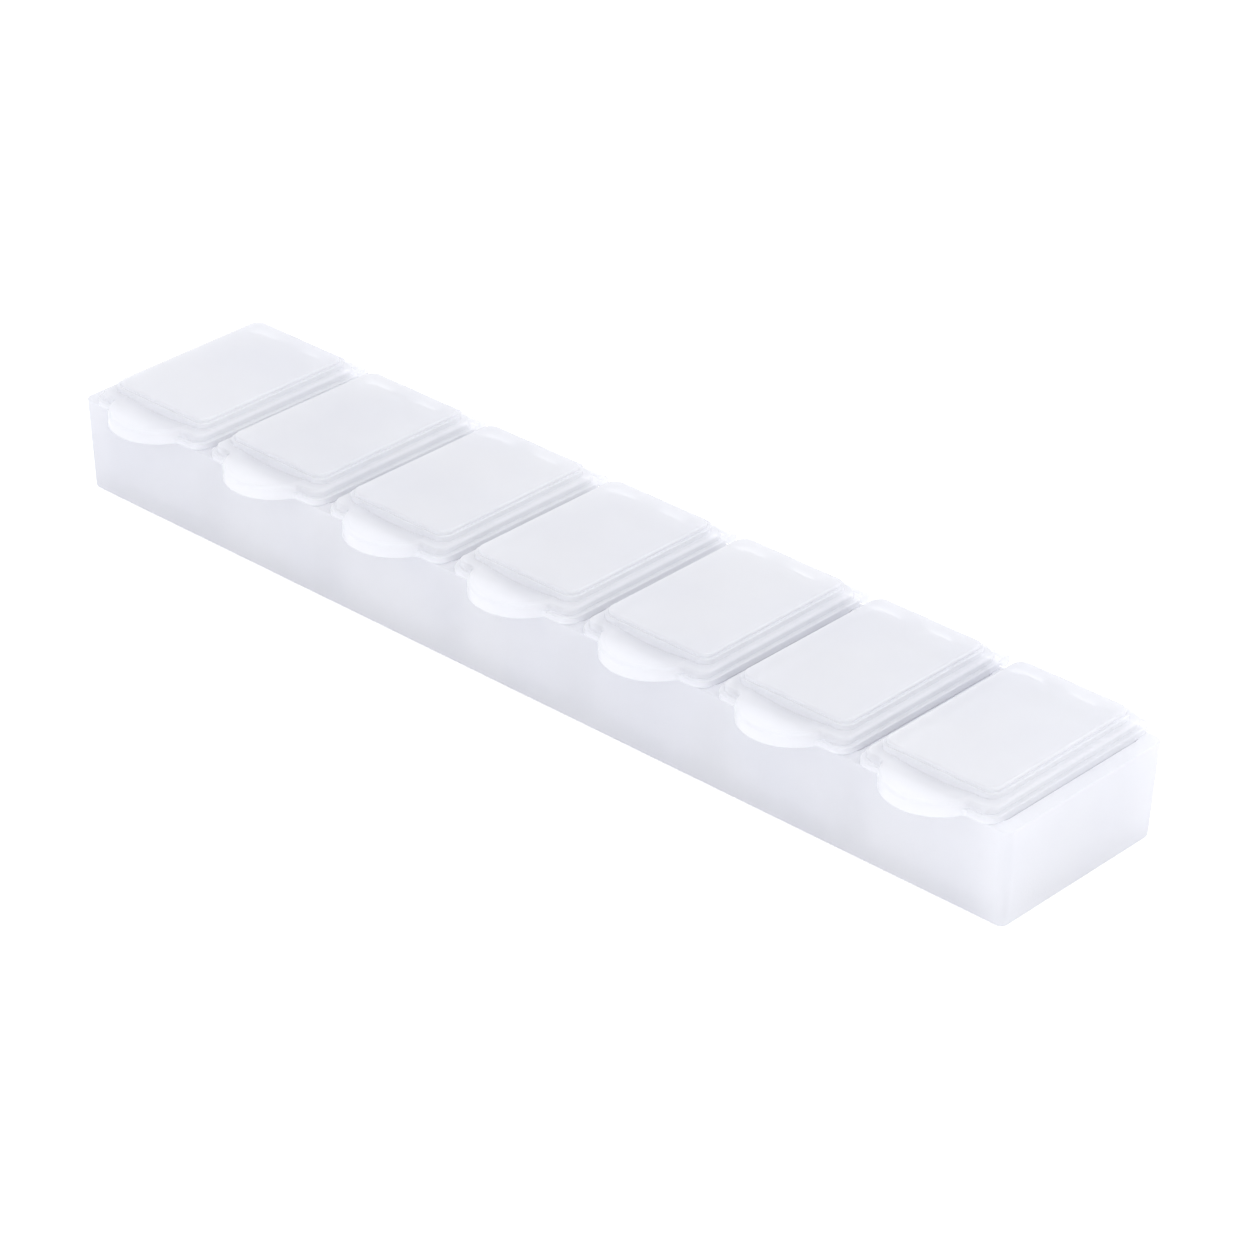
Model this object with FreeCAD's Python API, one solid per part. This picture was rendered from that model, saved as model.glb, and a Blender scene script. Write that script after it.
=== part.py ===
"""Seven-day travel pill organizer: a drafted tray with seven compartments and seven hinged lids.

Row frame, in millimetres: X runs along the row of lids, +Y points to the hinge side at the back,
+Z is up, and the origin is the centre of the tray's underside. Each lid turns on a round bar
moulded into its back edge, which snaps into two clips that stand on the tray's back wall.
"""

import FreeCAD
import Part

import math
import os

# Tray
DAYS = 7
POCKET_WIDTH = 20.8
POCKET_DEPTH = 26.8
DIVIDER = 1.2
LONG_WALL = 1.2
END_WALL = 2.1
TRAY_HEIGHT = 13.3
FLOOR = 1.4
OUTER_DRAFT = 0.45
POCKET_DRAFT = 0.35
OUTER_CORNER = 1.2
POCKET_CORNER = 1.6
POCKET_FLOOR_FILLET = 1.5
BASE_FILLET = 0.5
RIM_FILLET = 0.2

# Lid
LID_GAP = 1.4
LID_LIFT = 0.15
LID_FRONT_OVERHANG = 0.45
LID_CORNER = 2.0
LID_BACK_CORNER = 0.8
RIM_PLATE = 0.82
STEP_IN = 0.62
STEP_CORNER = 1.5
SHOULDER_RISE = 0.93
SHOULDER_FILLET = 0.4
LID_BACK_INSET = 0.2
TIER_INSET = 0.9
TIER_RISE = 0.7
TOP_INSET = 0.4
TOP_RISE = 0.5
TIER_CORNER = 1.7
TIER_FILLET = 0.15
TOP_FILLET = 0.3
TIER_BACK_INSET = 0.65
EDGE_FILLET = 0.2
SHELL = 1.0
RIB_CLEARANCE = 0.3
RIB_THICKNESS = 0.8
RIB_DEPTH = 1.55
CATCH_WIDTH = 4.0
CATCH_PROUD = 0.15
GATE_RADIUS = 1.5
GATE_HEIGHT = 0.15

# Thumb tab on the lid's front edge
TAB_WIDTH = 12.5
TAB_REACH = 4.1
TAB_FLARE = 0.8
DISH_DEPTH = 0.45
DISH_RIM = 0.9

# Hinge
BARREL_RADIUS = 0.8
BARREL_END_INSET = 0.4
HINGE_BEHIND = 0.9
HINGE_ABOVE_RIM = 0.3
WEB_RISE = 0.7
BAR_RADIUS = 0.45
BAR_CLEARANCE = 0.05
CLIP_WALL = 0.45
CLIP_WIDTH = 2.6
CLIP_OFFSET = 4.0
CLIP_SIDE_CLEARANCE = 0.3
CLIP_FRONT_CLEARANCE = 0.2
CLIP_MOUTH_ANGLE = 100.0
CLIP_BRACKET_DROP = 2.2

# Derived places
PITCH = POCKET_WIDTH + DIVIDER
HALF_LENGTH = (DAYS * POCKET_WIDTH + (DAYS - 1) * DIVIDER) / 2 + END_WALL
HALF_DEPTH = POCKET_DEPTH / 2 + LONG_WALL
LID_HALF_WIDTH = (PITCH - LID_GAP) / 2
LID_BOTTOM = TRAY_HEIGHT + LID_LIFT
LEDGE_Z = LID_BOTTOM + RIM_PLATE
SHOULDER_Z = LEDGE_Z + SHOULDER_RISE
TIER_Z = SHOULDER_Z + TIER_RISE
TOP_Z = TIER_Z + TOP_RISE
LID_FRONT = -HALF_DEPTH - LID_FRONT_OVERHANG
LID_BACK = HALF_DEPTH - LID_BACK_INSET
HINGE_Y = HALF_DEPTH + HINGE_BEHIND
HINGE_Z = TRAY_HEIGHT + HINGE_ABOVE_RIM
CLIP_BORE = BAR_RADIUS + BAR_CLEARANCE
CLIP_OUTER = CLIP_BORE + CLIP_WALL
NOTCH_FRONT = HINGE_Y - CLIP_OUTER - CLIP_FRONT_CLEARANCE
TAB_RADIUS = (TAB_WIDTH**2 / 4 + TAB_REACH**2) / (2 * TAB_REACH)
TAB_CENTRE_Y = LID_FRONT - TAB_REACH + TAB_RADIUS

CUT_MARGIN = 1.0  # how far a cutting tool runs past the face it opens


def vec(x, y, z):
    return FreeCAD.Vector(x, y, z)


def arc(start, middle, end):
    return Part.Arc(start, middle, end).toShape()


def rounded_outline(half_x, front, back, z, front_corner, back_corner):
    """Closed outline of a rectangle at height z, with its own corner radius at the front and the back."""
    corners = [
        (half_x, front, front_corner, -45),
        (half_x, back, back_corner, 45),
        (-half_x, back, back_corner, 135),
        (-half_x, front, front_corner, 225),
    ]
    ends, arcs = [], []
    for x, y, radius, diagonal in corners:
        centre = vec(x - math.copysign(radius, x), y - radius if diagonal in (45, 135) else y + radius, z)
        points = [
            centre + vec(radius * math.cos(math.radians(a)), radius * math.sin(math.radians(a)), 0)
            for a in (diagonal - 45, diagonal, diagonal + 45)
        ]
        if radius > 0:
            arcs.append(arc(*points))
        else:
            arcs.append(None)
        ends.append((points[0], points[2]))
    edges = []
    for i, bend in enumerate(arcs):
        if bend is not None:
            edges.append(bend)
        edges.append(Part.LineSegment(ends[i][1], ends[(i + 1) % 4][0]).toShape())
    return Part.Wire(edges)


def rounded_block(half_x, front, back, low, high, front_corner, back_corner=None):
    """Upright block with rounded corners in plan."""
    back_corner = front_corner if back_corner is None else back_corner
    outline = rounded_outline(half_x, front, back, low, front_corner, back_corner)
    return Part.Face(outline).extrude(vec(0, 0, high - low))


def box(x0, x1, y0, y1, z0, z1):
    return Part.makeBox(x1 - x0, y1 - y0, z1 - z0, vec(x0, y0, z0))


def rod_along_x(radius, x0, x1, y, z):
    return Part.makeCylinder(radius, x1 - x0, vec(x0, y, z), vec(1, 0, 0))


def edges_at(shape, z):
    """Edges of the shape that lie wholly at height z."""
    return [e for e in shape.Edges if abs(e.BoundBox.ZMin - z) < 1e-6 and abs(e.BoundBox.ZMax - z) < 1e-6]


def lid_centres():
    return [(i - (DAYS - 1) / 2) * PITCH for i in range(DAYS)]


# ---------------------------------------------------------------- tray


def tray_shell():
    """Solid block with drafted walls, rounded corners and a softened base and rim."""
    bottom = rounded_outline(
        HALF_LENGTH - OUTER_DRAFT, -HALF_DEPTH + OUTER_DRAFT, HALF_DEPTH - OUTER_DRAFT, 0, OUTER_CORNER, OUTER_CORNER
    )
    top = rounded_outline(HALF_LENGTH, -HALF_DEPTH, HALF_DEPTH, TRAY_HEIGHT, OUTER_CORNER, OUTER_CORNER)
    block = Part.makeLoft([bottom, top], True, True)
    block = block.makeFillet(BASE_FILLET, edges_at(block, 0))
    return block.makeFillet(RIM_FILLET, edges_at(block, TRAY_HEIGHT))


def pocket():
    """Space of one compartment, drafted, with rounded corners and a rounded foot at the floor."""
    rise = TRAY_HEIGHT - FLOOR
    over = POCKET_DRAFT * CUT_MARGIN / rise
    half_x, half_y = POCKET_WIDTH / 2, POCKET_DEPTH / 2
    foot = rounded_outline(
        half_x - POCKET_DRAFT, -half_y + POCKET_DRAFT, half_y - POCKET_DRAFT, FLOOR, POCKET_CORNER, POCKET_CORNER
    )
    mouth = rounded_outline(
        half_x + over, -half_y - over, half_y + over, TRAY_HEIGHT + CUT_MARGIN, POCKET_CORNER, POCKET_CORNER
    )
    space = Part.makeLoft([foot, mouth], True, True)
    return space.makeFillet(POCKET_FLOOR_FILLET, edges_at(space, FLOOR))


def hinge_clip():
    """C-shaped clip on the back wall: a bracket behind the wall, a post, and a bore open at the top."""
    half = CLIP_WIDTH / 2
    wall_inset = OUTER_DRAFT * CLIP_BRACKET_DROP / TRAY_HEIGHT
    base_y = HALF_DEPTH - wall_inset - LONG_WALL / 2
    back_y = HINGE_Y + CLIP_OUTER
    foot_z = TRAY_HEIGHT - CLIP_BRACKET_DROP
    side = [
        vec(-half, base_y, foot_z),
        vec(-half, HALF_DEPTH - wall_inset, foot_z),
        vec(-half, back_y, HINGE_Z - CLIP_OUTER),
        vec(-half, back_y, HINGE_Z),
        vec(-half, HINGE_Y - CLIP_OUTER, HINGE_Z),
        vec(-half, HINGE_Y - CLIP_OUTER, TRAY_HEIGHT - CLIP_WALL),
        vec(-half, base_y, TRAY_HEIGHT - CLIP_WALL),
    ]
    post = Part.Face(Part.makePolygon(side + [side[0]])).extrude(vec(CLIP_WIDTH, 0, 0))
    ring = rod_along_x(CLIP_OUTER, -half, half, HINGE_Y, HINGE_Z)
    bore = rod_along_x(CLIP_BORE, -half - CUT_MARGIN, half + CUT_MARGIN, HINGE_Y, HINGE_Z)
    reach = 2 * CLIP_OUTER
    spread = reach * math.tan(math.radians(CLIP_MOUTH_ANGLE / 2))
    wedge = [
        vec(-half - CUT_MARGIN, HINGE_Y, HINGE_Z),
        vec(-half - CUT_MARGIN, HINGE_Y + spread, HINGE_Z + reach),
        vec(-half - CUT_MARGIN, HINGE_Y - spread, HINGE_Z + reach),
    ]
    mouth = Part.Face(Part.makePolygon(wedge + [wedge[0]])).extrude(vec(CLIP_WIDTH + 2 * CUT_MARGIN, 0, 0))
    return post.fuse(ring).cut(bore.fuse(mouth))


def catch_groove():
    """Shallow groove inside the front wall that faces the lid's catch."""
    half = CATCH_WIDTH / 2 + RIB_CLEARANCE
    z = LID_BOTTOM - RIB_DEPTH / 2
    return rod_along_x(2 * CATCH_PROUD, -half, half, -POCKET_DEPTH / 2, z)


def tray():
    body = tray_shell()
    for x in lid_centres():
        spot = vec(x, 0, 0)
        body = body.cut(pocket().translated(spot)).cut(catch_groove().translated(spot))
        for side in (-1, 1):
            body = body.fuse(hinge_clip().translated(spot + vec(side * CLIP_OFFSET, 0, 0)))
    return body.removeSplitter()


# ---------------------------------------------------------------- lid


def tab_block(front, low, high):
    """Round thumb tab that flares into a straight front edge at y = front."""
    flare_y = front - TAB_FLARE
    flare_x = math.sqrt((TAB_RADIUS + TAB_FLARE) ** 2 - (TAB_CENTRE_Y - flare_y) ** 2)
    share = TAB_RADIUS / (TAB_RADIUS + TAB_FLARE)
    join_x = flare_x * share
    join_y = TAB_CENTRE_Y + (flare_y - TAB_CENTRE_Y) * share
    turn = math.atan2(join_y - flare_y, join_x - flare_x)
    half_turn = (turn + math.pi / 2) / 2
    bend_x = flare_x + TAB_FLARE * math.cos(half_turn)
    bend_y = flare_y + TAB_FLARE * math.sin(half_turn)
    inside = TAB_CENTRE_Y
    right = arc(vec(join_x, join_y, low), vec(bend_x, bend_y, low), vec(flare_x, front, low))
    left = arc(vec(-flare_x, front, low), vec(-bend_x, bend_y, low), vec(-join_x, join_y, low))
    nose = arc(vec(-join_x, join_y, low), vec(0, TAB_CENTRE_Y - TAB_RADIUS, low), vec(join_x, join_y, low))
    sides = [
        Part.LineSegment(vec(flare_x, front, low), vec(flare_x, inside, low)).toShape(),
        Part.LineSegment(vec(flare_x, inside, low), vec(-flare_x, inside, low)).toShape(),
        Part.LineSegment(vec(-flare_x, inside, low), vec(-flare_x, front, low)).toShape(),
    ]
    return Part.Face(Part.Wire([nose, right] + sides + [left])).extrude(vec(0, 0, high - low))


def lid_rim_plate():
    """Lowest, widest step of the lid, which carries the tab's lower half and reaches back to the barrel."""
    plate = rounded_block(LID_HALF_WIDTH, LID_FRONT, LID_BACK, LID_BOTTOM, LEDGE_Z, LID_CORNER, LID_BACK_CORNER)
    plate = plate.makeFillet(EDGE_FILLET, edges_at(plate, LEDGE_Z))
    half = LID_HALF_WIDTH - BARREL_END_INSET
    web = box(-half, half, LID_BACK - LID_CORNER, HINGE_Y, LID_BOTTOM, HINGE_Z + BARREL_RADIUS * WEB_RISE)
    return plate.fuse(web).fuse(tab_block(LID_FRONT, LID_BOTTOM, LEDGE_Z))


def lid_shoulder():
    """Middle step with the tab's upper half, rounded along its top edge."""
    front = LID_FRONT + STEP_IN
    back = LID_BACK
    block = rounded_block(LID_HALF_WIDTH - STEP_IN, front, back, LEDGE_Z, SHOULDER_Z, STEP_CORNER)
    block = block.fuse(tab_block(front, LEDGE_Z, SHOULDER_Z)).removeSplitter()
    return block.makeFillet(SHOULDER_FILLET, edges_at(block, SHOULDER_Z)).cut(thumb_dish())


def lid_panel():
    """Two-tier raised panel in the middle of the lid."""
    half_x = LID_HALF_WIDTH - STEP_IN - TIER_INSET
    front = LID_FRONT + STEP_IN + TIER_INSET + TIER_RISE
    back = LID_BACK - TIER_BACK_INSET
    tier = rounded_block(half_x, front, back, LEDGE_Z, TIER_Z, TIER_CORNER)
    tier = tier.makeFillet(TIER_FILLET, edges_at(tier, TIER_Z))
    top = rounded_block(
        half_x - TOP_INSET, front + TOP_INSET, back - TOP_INSET, TIER_Z, TOP_Z, TIER_CORNER - TOP_INSET / 2
    )
    return tier.fuse(top.makeFillet(TOP_FILLET, edges_at(top, TOP_Z)))


def thumb_dish():
    """Ball that scoops the shallow thumb dish out of the tab and leaves a rim round it."""
    across = TAB_RADIUS - DISH_RIM
    radius = (across**2 + DISH_DEPTH**2) / (2 * DISH_DEPTH)
    return Part.makeSphere(radius, vec(0, TAB_CENTRE_Y, SHOULDER_Z + radius - DISH_DEPTH))


def lid_hollow():
    """Space under the lid: a wide shallow part under the shoulder and a deeper one under the panel."""
    rib_in = RIB_CLEARANCE + RIB_THICKNESS
    low = LID_BOTTOM - CUT_MARGIN
    wide = rounded_block(
        POCKET_WIDTH / 2 - rib_in,
        -POCKET_DEPTH / 2 + rib_in,
        POCKET_DEPTH / 2 - rib_in,
        low,
        SHOULDER_Z - SHELL,
        POCKET_CORNER - RIB_CLEARANCE,
    )
    half_x = LID_HALF_WIDTH - STEP_IN - TIER_INSET - TOP_INSET - SHELL
    front = LID_FRONT + STEP_IN + TIER_INSET + TIER_RISE + TOP_INSET + SHELL
    back = LID_BACK - TIER_BACK_INSET - TOP_INSET - SHELL
    deep = rounded_block(half_x, front, back, low, TOP_Z - SHELL, TIER_CORNER - TOP_INSET)
    deep = deep.makeFillet(TOP_FILLET, edges_at(deep, TOP_Z - SHELL))
    gate = Part.makeCylinder(GATE_RADIUS, GATE_HEIGHT, vec(0, front + 1.1 * GATE_RADIUS, TOP_Z - SHELL - GATE_HEIGHT))
    return wide.fuse(deep).cut(gate)


def closing_rib():
    """Ring under the lid that drops into the compartment's mouth, with the catch on its front face."""
    low, high = LID_BOTTOM - RIB_DEPTH, LEDGE_Z
    out, inner = RIB_CLEARANCE, RIB_CLEARANCE + RIB_THICKNESS
    half_x, half_y = POCKET_WIDTH / 2, POCKET_DEPTH / 2
    ring = rounded_block(half_x - out, -half_y + out, half_y - out, low, high, POCKET_CORNER - out)
    ring = ring.makeFillet(EDGE_FILLET, edges_at(ring, low))
    middle = rounded_block(
        half_x - inner, -half_y + inner, half_y - inner, low - CUT_MARGIN, high + CUT_MARGIN, POCKET_CORNER - out
    )
    catch = rod_along_x(
        CATCH_PROUD, -CATCH_WIDTH / 2, CATCH_WIDTH / 2, -half_y + out, LID_BOTTOM - RIB_DEPTH / 2
    )
    return ring.cut(middle).fuse(catch)


def hinge_edge(body):
    """Adds the barrel along the back edge, cuts the two clip notches and runs the bar through them."""
    half = LID_HALF_WIDTH - BARREL_END_INSET
    barrel = rod_along_x(BARREL_RADIUS, -half, half, HINGE_Y, HINGE_Z)
    body = body.fuse(barrel)
    half = CLIP_WIDTH / 2 + CLIP_SIDE_CLEARANCE
    for side in (-1, 1):
        x = side * CLIP_OFFSET
        notch = box(
            x - half,
            x + half,
            NOTCH_FRONT,
            HINGE_Y + BARREL_RADIUS + CUT_MARGIN,
            LID_BOTTOM - RIB_DEPTH - CUT_MARGIN,
            SHOULDER_Z + CUT_MARGIN,
        )
        body = body.cut(notch)
    reach = CLIP_OFFSET + CLIP_WIDTH
    return body.fuse(rod_along_x(BAR_RADIUS, -reach, reach, HINGE_Y, HINGE_Z))


def lid():
    """One lid about x = 0, closed."""
    body = lid_rim_plate().fuse(lid_shoulder()).fuse(lid_panel())
    body = body.cut(lid_hollow()).fuse(closing_rib())
    return hinge_edge(body).removeSplitter()


def one_solid(shape, name):
    """The shape as a single valid solid."""
    solids = shape.Solids
    if len(solids) != 1 or not solids[0].isValid():
        raise ValueError(f"{name}: {len(solids)} solids, valid {[s.isValid() for s in solids]}")
    return solids[0]


def main():
    os.makedirs("parts", exist_ok=True)
    one_solid(tray(), "tray").exportStep("parts/tray.step")
    closed_lid = one_solid(lid(), "lid")
    for number, x in enumerate(lid_centres(), start=1):
        closed_lid.translated(vec(x, 0, 0)).exportStep(f"parts/lid_{number}.step")


main()
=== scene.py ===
"""Seven-day travel pill organizer in frosted polypropylene, on a white table under soft studio light."""
import math

import bpy
from mathutils import Matrix, Vector


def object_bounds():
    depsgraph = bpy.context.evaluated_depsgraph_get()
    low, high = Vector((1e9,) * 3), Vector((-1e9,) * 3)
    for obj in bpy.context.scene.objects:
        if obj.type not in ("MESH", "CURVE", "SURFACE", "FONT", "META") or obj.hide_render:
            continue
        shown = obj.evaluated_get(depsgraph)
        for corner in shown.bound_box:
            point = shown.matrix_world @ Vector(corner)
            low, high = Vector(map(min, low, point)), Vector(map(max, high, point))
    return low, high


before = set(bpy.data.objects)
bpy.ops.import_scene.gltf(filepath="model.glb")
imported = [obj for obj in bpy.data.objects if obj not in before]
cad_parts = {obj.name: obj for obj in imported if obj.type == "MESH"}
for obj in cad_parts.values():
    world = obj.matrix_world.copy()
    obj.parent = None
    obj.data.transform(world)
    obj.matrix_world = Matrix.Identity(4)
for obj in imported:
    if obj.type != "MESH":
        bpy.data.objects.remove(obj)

cad_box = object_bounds()

# Camera: where it looks, from which side, and how far away, in metres and degrees
CAMERA_TARGET = Vector((0.01073, -0.00526, 0.010))
CAMERA_AZIMUTH = 42.31
CAMERA_ELEVATION = 29.70
CAMERA_ROLL = 0.82
CAMERA_DISTANCE = 0.58068
CAMERA_NEAR = 0.01
CAMERA_FAR = 20.0

# Lens and sensor width, in millimetres
CAMERA_LENS = 135.6
CAMERA_SENSOR = 36.0

# Plastic: each moulding's pale colour and the deeper one its clouds take
TRAY_PALE = (0.968, 0.972, 0.996)
TRAY_DEEP = (0.944, 0.950, 0.984)
LID_PALE = (0.974, 0.977, 0.996)
LID_DEEP = (0.952, 0.957, 0.986)
CLEAR_TINT = (0.985, 0.987, 1.0)
PLASTIC_IOR = 1.49

# Noise scale and detail of the clouds, the flow marks and the moulded grain
CLOUD_NOISE = (60.0, 3.0)
FLOW_NOISE = (240.0, 4.0)
GRAIN_NOISE = (5200.0, 2.0)
NOISE_ROUGHNESS = 0.55

# Noise values where a cloud starts and where it is full
CLOUD_STARTS = 0.35
CLOUD_FULL = 0.70

# Height of the bumps in metres, and the share of it that grain and flow marks give
BUMP_HEIGHT = 0.0001
GRAIN_SHARE = 0.7
FLOW_SHARE = 0.3
ROUGHNESS_FROM_FLOW = 0.12

# Floor: half its width and its drop below the box, in metres
FLOOR_HALF = 3.0
FLOOR_DROP = 0.00002
FLOOR_COLOUR = (0.95, 0.95, 0.96)
FLOOR_GLOW = 0.4

# Light
WORLD_COLOUR = (0.985, 0.988, 1.0)
WORLD_LIGHT = 1.03
KEY_POWER = 0.95
FILL_POWER = 0.85


class Socket:
    """An output socket that takes Python arithmetic: each operator adds a Math node."""

    def __init__(self, tree, link):
        self.tree = tree
        self.link = link

    def _math(self, operation, first, second):
        return self.tree.node("ShaderNodeMath", {"operation": operation}, {0: first, 1: second})[0]

    def __add__(self, other):
        return self._math("ADD", self, other)

    def __radd__(self, other):
        return self._math("ADD", other, self)

    def __mul__(self, other):
        return self._math("MULTIPLY", self, other)

    def __rmul__(self, other):
        return self._math("MULTIPLY", other, self)


class Tree:
    """A node tree of a material or world, where every node comes from one method."""

    def __init__(self, owner):
        owner.use_nodes = True
        self.nodes = owner.node_tree.nodes
        self.links = owner.node_tree.links
        self.nodes.clear()

    def node(self, kind, settings=None, inputs=None):
        """Adds a node, sets it up, fills its sockets and returns its outputs wrapped."""
        made = self.nodes.new(kind)
        for name, value in (settings or {}).items():
            setattr(made, name, value)
        for key, value in (inputs or {}).items():
            if isinstance(value, Socket):
                self.links.new(value.link, made.inputs[key])
            else:
                made.inputs[key].default_value = value
        return [Socket(self, output) for output in made.outputs]

    def blend_colours(self, share, first, second):
        """A colour between two, by a share that changes over the surface."""
        settings = {"data_type": "RGBA"}
        inputs = {0: share, 6: (*first, 1.0), 7: (*second, 1.0)}
        return self.node("ShaderNodeMix", settings, inputs)[2]

    def noise(self, place, scale, detail):
        """Soft noise at a place on the surface."""
        inputs = {"Vector": place, "Scale": scale, "Detail": detail, "Roughness": NOISE_ROUGHNESS}
        return self.node("ShaderNodeTexNoise", {}, inputs)[0]

    def smooth_step(self, value, low, high):
        """0 below low, 1 above high, and a soft rise between."""
        settings = {"interpolation_type": "SMOOTHSTEP"}
        inputs = {"Value": value, "From Min": low, "From Max": high, "To Min": 0.0, "To Max": 1.0}
        return self.node("ShaderNodeMapRange", settings, inputs)[0]


def moulded_plastic(name, pale, deep, roughness, grain, see_through, glow):
    """Frosted polypropylene: cloudy colour, a fine moulded grain, and light that comes through the walls."""
    material = bpy.data.materials.new(name)
    tree = Tree(material)
    place = tree.node("ShaderNodeTexCoord")[3]
    cloud = tree.noise(place, *CLOUD_NOISE)
    flow = tree.noise(place, *FLOW_NOISE)
    fine = tree.noise(place, *GRAIN_NOISE)
    depth = tree.smooth_step(cloud, CLOUD_STARTS, CLOUD_FULL)
    colour = tree.blend_colours(depth, pale, deep)
    height = fine * GRAIN_SHARE + flow * FLOW_SHARE
    bumps = {"Strength": grain, "Distance": BUMP_HEIGHT, "Height": height}
    bump = tree.node("ShaderNodeBump", {}, bumps)[0]
    surface = tree.node(
        "ShaderNodeBsdfPrincipled",
        {},
        {
            "Base Color": colour,
            "Roughness": flow * ROUGHNESS_FROM_FLOW + roughness,
            "IOR": PLASTIC_IOR,
            "Normal": bump,
        },
    )[0]
    through = tree.node("ShaderNodeBsdfTranslucent", {}, {"Color": colour, "Normal": bump})[0]
    body = tree.node("ShaderNodeMixShader", {}, {0: glow, 1: surface, 2: through})[0]
    clear = tree.node("ShaderNodeBsdfTransparent", {}, {"Color": (*CLEAR_TINT, 1.0)})[0]
    whole = tree.node("ShaderNodeMixShader", {}, {0: see_through, 1: body, 2: clear})[0]
    tree.node("ShaderNodeOutputMaterial", {}, {"Surface": whole})
    return material


def dress(node, material):
    """Puts a material on a CAD node."""
    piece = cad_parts[node]
    piece.data.materials.clear()
    piece.data.materials.append(material)


def pale_floor():
    """White table top, with a glow of its own where it is seen straight on or mirrored."""
    half = FLOOR_HALF
    mesh = bpy.data.meshes.new("floor")
    corners = [(-half, -half, 0), (half, -half, 0), (half, half, 0), (-half, half, 0)]
    mesh.from_pydata(corners, [], [(0, 1, 2, 3)])
    floor = bpy.data.objects.new("floor", mesh)
    bpy.context.scene.collection.objects.link(floor)
    floor.location.z = cad_box[0].z - FLOOR_DROP
    material = bpy.data.materials.new("floor_white")
    tree = Tree(material)
    paint = tree.node("ShaderNodeBsdfDiffuse", {}, {"Color": (*FLOOR_COLOUR, 1.0)})[0]
    rays = tree.node("ShaderNodeLightPath")
    to_the_eye, mirrored = rays[0], rays[3]
    seen = tree.node("ShaderNodeMath", {"operation": "MAXIMUM"}, {0: to_the_eye, 1: mirrored})[0]
    white_glow = {"Color": (1.0, 1.0, 1.0, 1.0), "Strength": seen * FLOOR_GLOW}
    lift = tree.node("ShaderNodeEmission", {}, white_glow)[0]
    both = tree.node("ShaderNodeAddShader", {}, {0: paint, 1: lift})[0]
    tree.node("ShaderNodeOutputMaterial", {}, {"Surface": both})
    mesh.materials.append(material)


def white_world():
    """Even white surround: full white to the eye, and a little brighter as light."""
    world = bpy.data.worlds.new("studio")
    bpy.context.scene.world = world
    tree = Tree(world)
    to_the_eye = tree.node("ShaderNodeLightPath")[0]
    strength = to_the_eye * (1.0 - WORLD_LIGHT) + WORLD_LIGHT
    surround = {"Color": (*WORLD_COLOUR, 1.0), "Strength": strength}
    light = tree.node("ShaderNodeBackground", {}, surround)[0]
    tree.node("ShaderNodeOutputWorld", {}, {"Surface": light})


def direction(azimuth, elevation):
    """Unit vector from the box towards a side and a height, in degrees from its front and its base."""
    turn, rise = math.radians(azimuth), math.radians(elevation)
    return Vector((math.sin(turn) * math.cos(rise), -math.cos(turn) * math.cos(rise), math.sin(rise)))


def soft_box(name, azimuth, elevation, distance, size, power):
    """Square lamp that faces the box from one side, in metres, degrees and watts."""
    data = bpy.data.lights.new(name, "AREA")
    data.shape = "SQUARE"
    data.size = size
    data.energy = power
    lamp = bpy.data.objects.new(name, data)
    bpy.context.scene.collection.objects.link(lamp)
    away = direction(azimuth, elevation)
    lamp.location = away * distance
    lamp.rotation_mode = "QUATERNION"
    lamp.rotation_quaternion = (-away).to_track_quat("-Z", "Y")


def studio_camera():
    """Long lens on the box from its front right, with a slight roll."""
    data = bpy.data.cameras.new("camera")
    data.sensor_width = CAMERA_SENSOR
    data.lens = CAMERA_LENS
    data.clip_start, data.clip_end = CAMERA_NEAR, CAMERA_FAR
    camera = bpy.data.objects.new("camera", data)
    bpy.context.scene.collection.objects.link(camera)
    back = direction(CAMERA_AZIMUTH, CAMERA_ELEVATION)
    level = (-back).cross(Vector((0, 0, 1))).normalized()
    upright = level.cross(-back)
    tilt = math.radians(CAMERA_ROLL)
    right = level * math.cos(tilt) + upright * math.sin(tilt)
    up = upright * math.cos(tilt) - level * math.sin(tilt)
    stand = Matrix.Translation(CAMERA_TARGET + back * CAMERA_DISTANCE)
    camera.matrix_world = stand @ Matrix((right, up, back)).transposed().to_4x4()
    bpy.context.scene.camera = camera


tray_plastic = moulded_plastic(
    "tray_frosted", TRAY_PALE, TRAY_DEEP, roughness=0.42, grain=0.35, see_through=0.06, glow=0.42
)
lid_plastic = moulded_plastic(
    "lid_satin", LID_PALE, LID_DEEP, roughness=0.16, grain=0.12, see_through=0.32, glow=0.30
)
for node_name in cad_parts:
    dress(node_name, tray_plastic if node_name == "tray" else lid_plastic)

pale_floor()
white_world()
soft_box("key", azimuth=142.0, elevation=40.0, distance=0.7, size=0.3, power=KEY_POWER)
soft_box("fill", azimuth=12.0, elevation=15.0, distance=0.9, size=0.5, power=FILL_POWER)
studio_camera()
bpy.context.scene.view_settings.view_transform = "Standard"
